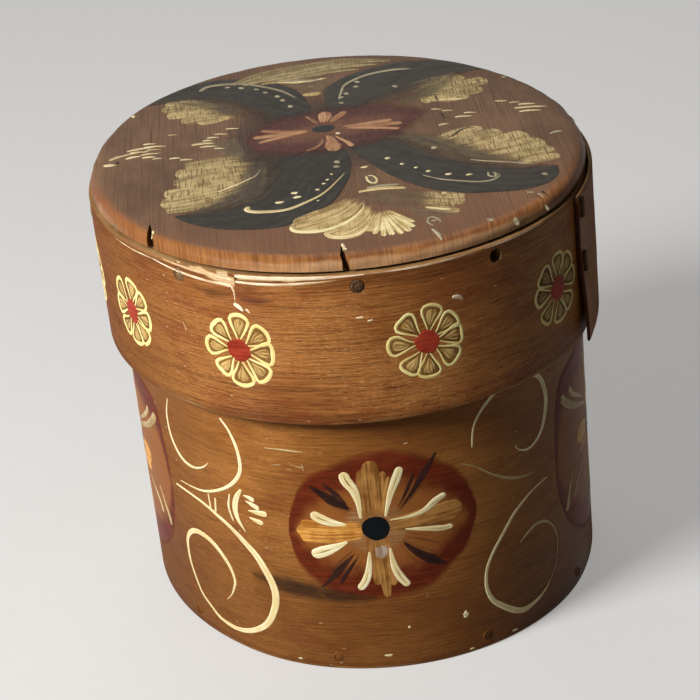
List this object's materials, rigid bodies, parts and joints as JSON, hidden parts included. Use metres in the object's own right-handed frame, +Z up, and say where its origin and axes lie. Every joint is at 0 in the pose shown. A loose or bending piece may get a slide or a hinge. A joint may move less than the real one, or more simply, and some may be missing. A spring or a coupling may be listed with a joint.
{
  "type": "bentwood tine box",
  "caption": "Oval lidded bentwood box with scarfed, root-sewn laps, pegged boards and a lift-off lid that slips down over the wall.",
  "frame": {"origin": "middle of the face that the box stands on", "axes": "+Z up; +Y from front to back, along the longer side of the oval; +X to the right"},
  "size_m": [0.2185, 0.248, 0.1976],
  "materials": {
    "painted_wall": "golden brown oil paint, varnished, worn at the edges",
    "painted_board": "reddish brown oil paint, varnished, grain showing",
    "bare_board": "bare aged pine",
    "root": "split root, dark with paint and age",
    "peg": "dark whittled peg"
  },
  "bodies": {
    "box": {"body_band": "painted_wall", "body_lacing_outer_end": "root", "body_lacing_inner_end": "root", "bottom_board": "bare_board", "bottom_pegs": "peg"},
    "lid": {"lid_band": "painted_wall", "lid_lacing_outer_end": "root", "lid_lacing_inner_end": "root", "lid_board": "painted_board", "lid_pegs": "peg"}
  },
  "joints": [
    {"name": "lid_lift", "type": "slide", "parent": "box", "child": "lid", "axis": [0, 0, 1], "range_m": [0, 0.075]}
  ]
}
